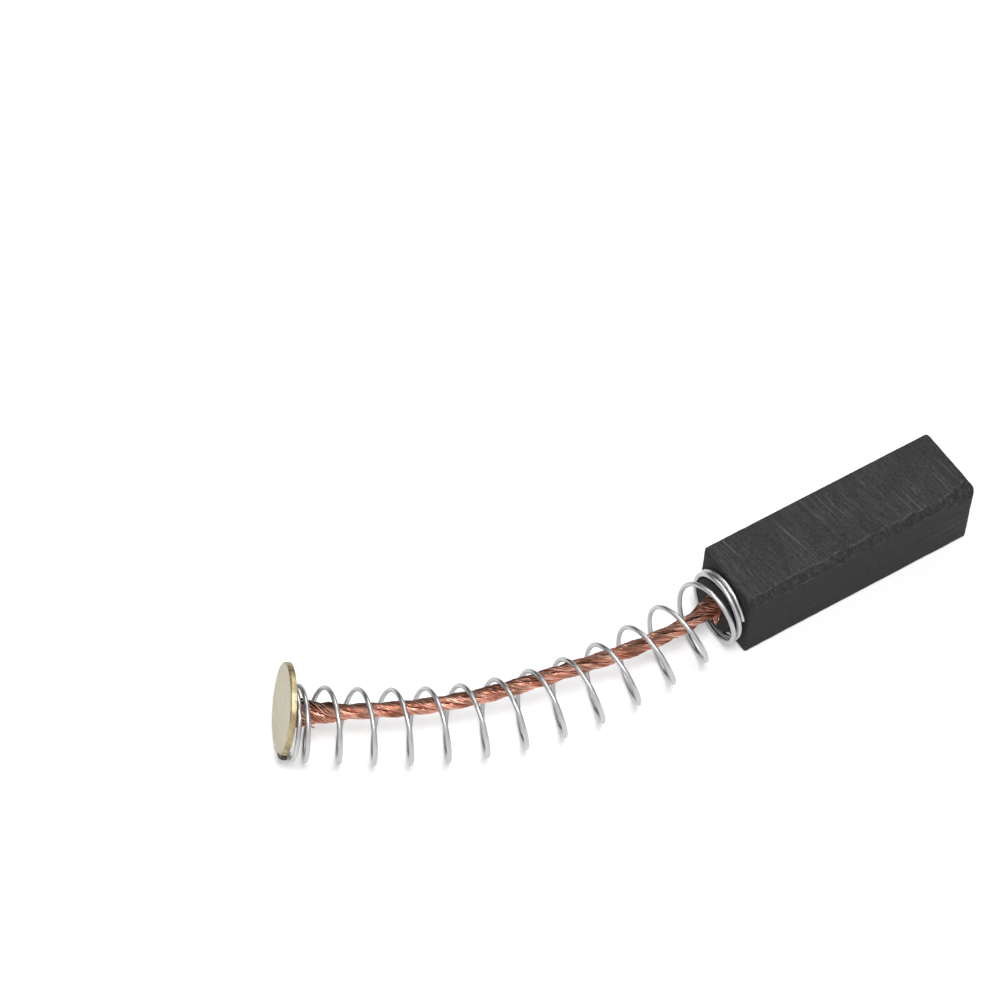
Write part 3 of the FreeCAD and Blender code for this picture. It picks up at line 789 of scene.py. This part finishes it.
# The direction of the lead's side that gets painted shade: up and towards plus Y.
PAINTED_TOP_SHADE_SIDE = Vector((0.36, 0.68, 0.64))
LAY_STRETCH = math.hypot(1, 2 * math.pi * STRAND_RING / LAY_LENGTH)
LEAD_START = BOSS_LENGTH - SEAT_DEPTH + 1.6
LEAD_END = LINE_LENGTH - BRAZE_HEIGHT - 0.01
OPENING_LENGTH_AT_CAP = 5.5
OPENING_LENGTH_AT_BOSS = 2.2
LEAD_STEPS = 150
FINE_WIRE_SIDES = 8
for index in range(STRANDS):
    bm = bmesh.new()
    bm.verts.layers.float.new("wire_tone")
    for wire in range(WIRES_ROUND_STRAND + 1):
        wire_tone = random.random()
        phase = random.random() * 10
        points = []
        outs = []
        radii = []
        in_middle = wire == WIRES_ROUND_STRAND
        for i in range(LEAD_STEPS + 1):
            station = mix(LEAD_START, LEAD_END, i / LEAD_STEPS)
            centre, around = strand_centre(index, station)
            ahead, _ = strand_centre(index, station + 0.1)
            forward = (ahead - centre).normalized()
            across = forward.cross(around).normalized()
            near_cap = 1 - smoothstep((LEAD_END - station) / OPENING_LENGTH_AT_CAP)
            near_boss = 1 - smoothstep(abs(station - BOSS_LENGTH) / OPENING_LENGTH_AT_BOSS)
            spread = 1 + 0.85 * near_cap + 0.65 * near_boss
            slack = 0.03 + 0.05 * near_cap + 0.07 * near_boss
            loose = slack * noise.noise(Vector((station * 0.7, wire * 3.7, index * 5.1 + phase)))
            ring = 0.0 if in_middle else (WIRE_RING + loose) * spread
            turn = 2 * math.pi * station / WIRE_LAY_LENGTH + 2 * math.pi * wire / WIRES_ROUND_STRAND
            turn += 0.25 * noise.noise(Vector((station * 0.35, wire * 1.9, index * 2.3)))
            out = around * math.cos(turn) + across * math.sin(turn)
            points.append(centre + out * ring)
            outs.append(out)
            radii.append(FILLER_RADIUS * spread if in_middle else FINE_WIRE_RADIUS)
        add_wire(bm, sweep(points, outs, radii, FINE_WIRE_SIDES), wire_tone)
    for station, angle, reach, drift in LOOSE_WIRES[index]:
        points = loose_wire(station, math.radians(angle), reach, drift)
        outs = [Vector((0.2, 0.3, 0.9))] * len(points)
        brightness = (0.45 if station < LINE_LENGTH / 2 else 0.0) + 0.5 * random.random()
        radii = [FINE_WIRE_RADIUS * 0.9] * len(points)
        add_wire(bm, sweep(points, outs, radii, FINE_WIRE_SIDES), brightness)
    finish_piece(bm, f"lead_strand_{index + 1}_wires", "brush", copper, f"lead_strand_{index + 1}")

# %% [markdown]
# ## The brass cap
# The cap is a disc punched from sheet. The punch rolls its outer edge over on one
# side and tears the lower part of its rim, so the rim is half smooth and half
# rough. A profile spun about the disc's axis gives the shape, and the shader
# gives the tearing.

# %% Brass material
brass, tree, shader = new_material("punched_brass")
place = add_node(tree, "ShaderNodeTexCoord").outputs["Object"]
satin = noise_texture(tree, place, 1500.0, detail=6, roughness=0.7)
cloud = noise_texture(tree, place, 260.0, detail=3)
brushed = noise_texture(tree, place, 1.0, (900, 900, 9000), 0.3, 4, 0.6)
rim_mask = add_node(tree, "ShaderNodeAttribute", attribute_name="rim").outputs["Fac"]
face_colour = ramp(tree, cloud, [(0.35, (0.425, 0.384, 0.278, 1)), (0.6, (0.462, 0.423, 0.317, 1)),
                                 (0.75, (0.480, 0.452, 0.356, 1))])
rim_colour = ramp(tree, satin, [(0.35, (0.27, 0.21, 0.11, 1)), (0.52, (0.43, 0.35, 0.20, 1)),
                                (0.68, (0.62, 0.54, 0.35, 1))])
colour = blend_colours(tree, rim_mask, face_colour, rim_colour)
tree.links.new(colour, shader.inputs["Base Color"])
shader.inputs["Metallic"].default_value = 1.0
rough = blend_colours(tree, rim_mask, ramp(tree, satin, [(0.35, 0.36), (0.7, 0.5)]),
                      ramp(tree, brushed, [(0.35, 0.38), (0.7, 0.55)]))
tree.links.new(rough, shader.inputs["Roughness"])
relief = bump(tree, satin, 0.25, 0.00002)
relief = bump(tree, brushed, 0.25, 0.00002, relief)
tree.links.new(relief, shader.inputs["Normal"])

# %% [markdown]
# The disc's axis is the spring's own direction at its far end, so the same three
# directions that place the coils turn the finished disc into its place.

# %% Cap
outward, side, up = coil_plane(LINE_LENGTH)
cap_turn = Matrix((up, side, outward)).transposed().to_4x4()
cap_place = Matrix.Translation(CAP_CENTRE) @ cap_turn
inner_face = [(radius, 0, 0) for radius in (0.0, 0.9, 1.8, 2.7, 3.2, CAP_RADIUS - 0.04)]
rim_insets = {0.04: 0, 0.12: 0, 0.20: 0, 0.28: 0.004, 0.36: 0.01, 0.43: 0.04, 0.485: 0.10}
rim = [(CAP_RADIUS - inset, 0, height) for height, inset in rim_insets.items()]
outer_face = [(radius, 0, CAP_THICKNESS) for radius in (CAP_RADIUS - 0.17, 3.1, 2.4, 1.6, 0.8, 0.0)]
bm = spin_profile(inner_face + rim + outer_face, (0, 0, 1), 160)
rim_layer = bm.verts.layers.float.new("rim")
bmesh.ops.remove_doubles(bm, verts=bm.verts, dist=MERGE_DISTANCE)
for vert in bm.verts:
    radius = Vector((vert.co.x, vert.co.y)).length
    vert[rim_layer] = 1.0 if radius > CAP_RADIUS - 0.11 else 0.0
    angle = math.atan2(vert.co.y, vert.co.x)
    if radius > CAP_RADIUS - 0.06:
        tear = abs(noise.noise(Vector((math.cos(angle) * 26, math.sin(angle) * 26, vert.co.z * 3))))
        shrink = 1 - 0.03 * tear * (CAP_THICKNESS + 0.1 - vert.co.z) / CAP_RADIUS
        vert.co.x *= shrink
        vert.co.y *= shrink
bmesh.ops.transform(bm, matrix=cap_place, verts=bm.verts)
finish_piece(bm, "punched_brass_cap", "cap", brass, "terminal_cap", 30)

# %% [markdown]
# ## A nib on the cap's rim
# Low on the rim a small dark lump stands out. It starts as a cube, and subdividing,
# smoothing and noise turn it into an uneven lump that sinks into the rim.

# %% Nib
nib_material, tree, shader = new_material("dark_rim_lump")
place = add_node(tree, "ShaderNodeTexCoord").outputs["Object"]
lump_noise = noise_texture(tree, place, 4000.0, detail=5, roughness=0.75)
colour = ramp(tree, lump_noise, [(0.35, (0.035, 0.028, 0.026, 1)), (0.52, (0.10, 0.075, 0.060, 1)),
                            (0.68, (0.26, 0.20, 0.15, 1))])
tree.links.new(colour, shader.inputs["Base Color"])
shader.inputs["Metallic"].default_value = 0.6
tree.links.new(ramp(tree, lump_noise, [(0.3, 0.65), (0.7, 0.4)]), shader.inputs["Roughness"])
tree.links.new(bump(tree, lump_noise, 0.7, 0.00005), shader.inputs["Normal"])

NIB_ANGLE = math.radians(233)
NIB_SIZE = (0.48, 0.50, 0.62)
bm = bmesh.new()
bmesh.ops.create_cube(bm, size=1)
bmesh.ops.subdivide_edges(bm, edges=list(bm.edges), cuts=5, use_grid_fill=True)
for _ in range(3):
    bmesh.ops.smooth_vert(bm, verts=bm.verts, factor=0.5, use_axis_x=True, use_axis_y=True, use_axis_z=True)
bmesh.ops.scale(bm, vec=NIB_SIZE, verts=bm.verts)
for vert in bm.verts:
    vert.co *= 1 + 0.35 * noise.noise(vert.co * 3.1) + 0.18 * noise.noise(vert.co * 8.0)
bmesh.ops.translate(bm, vec=(CAP_RADIUS + 0.06, 0, 0.20), verts=bm.verts)
bmesh.ops.rotate(bm, cent=(0, 0, 0), matrix=Matrix.Rotation(NIB_ANGLE, 3, "Z"), verts=bm.verts)
bmesh.ops.transform(bm, matrix=cap_place, verts=bm.verts)
cap_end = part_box("terminal_cap")[0][0] * 1000 + 0.01
for vert in bm.verts:
    vert.co.x = max(vert.co.x, cap_end)
finish_piece(bm, "nib_on_cap_rim", "cap", nib_material, sharp_angle=60)

# %% [markdown]
# ## The braze
# The lead's wires end in a low mound of braze on the inside of the cap. It froze
# from a drop, so it is round with a soft rim, and a little uneven.

# %% Braze
braze, tree, shader = new_material("braze_metal")
place = add_node(tree, "ShaderNodeTexCoord").outputs["Object"]
skin = noise_texture(tree, place, 1800.0, detail=4, roughness=0.6)
stain = noise_texture(tree, place, 600.0, detail=2)
colour = ramp(tree, skin, [(0.35, (0.45, 0.33, 0.16, 1)), (0.6, (0.72, 0.60, 0.36, 1))])
colour = blend_colours(tree, ramp(tree, stain, [(0.5, 0.0), (0.68, 0.7)]), colour, (0.12, 0.075, 0.05, 1))
tree.links.new(colour, shader.inputs["Base Color"])
shader.inputs["Metallic"].default_value = 1.0
tree.links.new(ramp(tree, skin, [(0.3, 0.25), (0.7, 0.5)]), shader.inputs["Roughness"])
tree.links.new(bump(tree, skin, 0.5, 0.00004), shader.inputs["Normal"])

mound = [
    (1.3, 0, 0), (1.29, 0, -0.05), (1.24, 0, -0.12), (1.14, 0, -0.19),
    (1.0, 0, -0.24), (0.8, 0, -0.275), (0.5, 0, -0.295), (0, 0, -BRAZE_HEIGHT),
]
bm = spin_profile(mound, (0, 0, 1), 64)
bmesh.ops.remove_doubles(bm, verts=bm.verts, dist=MERGE_DISTANCE)
base_edges = [edge for edge in bm.edges if edge.is_boundary]
bmesh.ops.contextual_create(bm, geom=base_edges)
for vert in bm.verts:
    if vert.co.z < -0.02:
        swell = 1 - 0.08 * abs(noise.noise(vert.co * 1.6))
        vert.co.x *= swell
        vert.co.y *= swell
        vert.co.z *= 1 - 0.15 * abs(noise.noise(vert.co * 2.3))
foot = Matrix.Translation(side * LEAD_SIDE_OFFSET_AT_CAP)
bmesh.ops.transform(bm, matrix=foot @ cap_place, verts=bm.verts)
finish_piece(bm, "braze_drop", "cap", braze, "braze_mound", 50)

# %% [markdown]
# ## How the pieces move
# The cap can be pushed towards the block, and the spring and the lead give way
# between them. Rigid pieces can't show that. Here the spring's and the lead's
# pieces only get meshes of their own.

# %% Spring and lead get meshes of their own
for piece in [o for o in bpy.data.objects if o.name.startswith(("compression_spring_wire", "lead_strand_"))
              and "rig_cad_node" not in o]:
    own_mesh(piece)
    print("flattens with the cap:", piece.name)

# %% [markdown]
# ## Floor, light and camera
# The brush lies on a plain white table. Large soft lamps from above leave the
# faint shadow that shows where it touches. The camera looks down at 53 degrees
# from far away with a long lens, so that parallel edges stay nearly parallel.

# %% Floor
FLOOR_LIFT = 0.30
floor_material, tree, shader = new_material("white_table")
place = add_node(tree, "ShaderNodeTexCoord").outputs["Object"]
paper = noise_texture(tree, place, 300.0, detail=3)
tree.links.new(ramp(tree, paper, [(0.3, (0.89, 0.89, 0.89, 1)), (0.7, (0.91, 0.91, 0.91, 1))]),
               shader.inputs["Base Color"])
shader.inputs["Roughness"].default_value = 0.9
shader.inputs["Specular IOR Level"].default_value = 0.1
shader.inputs["Emission Color"].default_value = (1, 1, 1, 1)
paths = add_node(tree, "ShaderNodeLightPath").outputs
seen = paths["Is Camera Ray"]
for ray in ("Is Glossy Ray", "Is Transmission Ray"):
    seen = add_node(tree, "ShaderNodeMath", {0: seen, 1: paths[ray]}, operation="ADD").outputs[0]
glow = add_node(tree, "ShaderNodeMath", {0: seen, 1: FLOOR_LIFT}, operation="MULTIPLY").outputs[0]
tree.links.new(glow, shader.inputs["Emission Strength"])
bm = bmesh.new()
bmesh.ops.create_grid(bm, x_segments=1, y_segments=1, size=3.0)
bmesh.ops.translate(bm, vec=(0, 0, FLOOR * 0.001), verts=bm.verts)
floor_mesh = bpy.data.meshes.new("table")
bm.to_mesh(floor_mesh)
bm.free()
floor_mesh.materials.append(floor_material)
floor = bpy.data.objects.new("table", floor_mesh)
bpy.context.scene.collection.objects.link(floor)

# %% [markdown]
# Polished metal shows whatever stands round it, so the sky matters more than the
# lamps. It is white overhead and towards the camera and darker low behind, as in a
# light tent that is open at the back. The wires get their dark edges from that.

# %% Light
world = bpy.data.worlds.new("studio")
bpy.context.scene.world = world
world.use_nodes = True
sky = world.node_tree
background = sky.nodes["Background"]
background.inputs["Strength"].default_value = 1.0
paths = add_node(sky, "ShaderNodeLightPath").outputs
direction = add_node(sky, "ShaderNodeTexCoord").outputs["Generated"]
above_and_before = add_node(sky, "ShaderNodeVectorMath", {0: direction, 1: (-0.29, -0.47, 1.0)},
                            operation="DOT_PRODUCT").outputs["Value"]
tent = ramp(sky, above_and_before, [(0.0, 0.08), (0.22, 0.16), (0.55, 0.9), (0.8, 1.0)])
mirrored = add_node(sky, "ShaderNodeMath", {0: paths["Is Glossy Ray"], 1: paths["Is Transmission Ray"]},
                    operation="MAXIMUM").outputs[0]
studio = blend_colours(sky, mirrored, (0.30, 0.30, 0.305, 1), tent)
studio = blend_colours(sky, paths["Is Camera Ray"], studio, (1, 1, 1, 1))
sky.links.new(studio, background.inputs["Color"])
target = Vector((-0.029, 0.004, 0))


def soft_lamp(name, location, size, power):
    lamp = bpy.data.lights.new(name, "AREA")
    lamp.shape = "DISK"
    lamp.size = size
    lamp.energy = power
    holder = bpy.data.objects.new(name, lamp)
    holder.location = location
    holder.rotation_euler = (target - Vector(location)).to_track_quat("-Z", "Y").to_euler()
    bpy.context.scene.collection.objects.link(holder)
    return holder


key = soft_lamp("key_lamp", (-0.10, -0.12, 0.44), size=0.22, power=1.35)
fill = soft_lamp("fill_lamp", (0.22, 0.22, 0.40), size=0.30, power=0.75)

# %% [markdown]
# The camera's three directions and its distance are written out, found once by
# matching the block's corners and the coils. With them the render can be laid over
# a picture of the real brush.

# %% Camera
camera_data = bpy.data.cameras.new("camera")
camera_data.sensor_width = 36
camera_data.lens = 180
camera_data.clip_start = 0.01
camera_data.clip_end = 20
camera = bpy.data.objects.new("camera", camera_data)
bpy.context.scene.collection.objects.link(camera)
right = Vector((0.830976, -0.553685, 0.053966))
down = Vector((-0.417133, -0.684329, -0.598075))
ahead = Vector((0.368076, 0.474475, -0.799621))
from_origin = Vector((35.728433, -1.332306, 398.177174))
location = -(right * from_origin.x + down * from_origin.y + ahead * from_origin.z)
turned = Matrix((right, -down, -ahead)).transposed().to_4x4()
camera.matrix_world = Matrix.Translation(location * 0.001) @ turned
bpy.context.scene.camera = camera
bpy.context.scene.view_settings.view_transform = "Standard"
print("camera at", tuple(round(c, 4) for c in camera.matrix_world.translation))
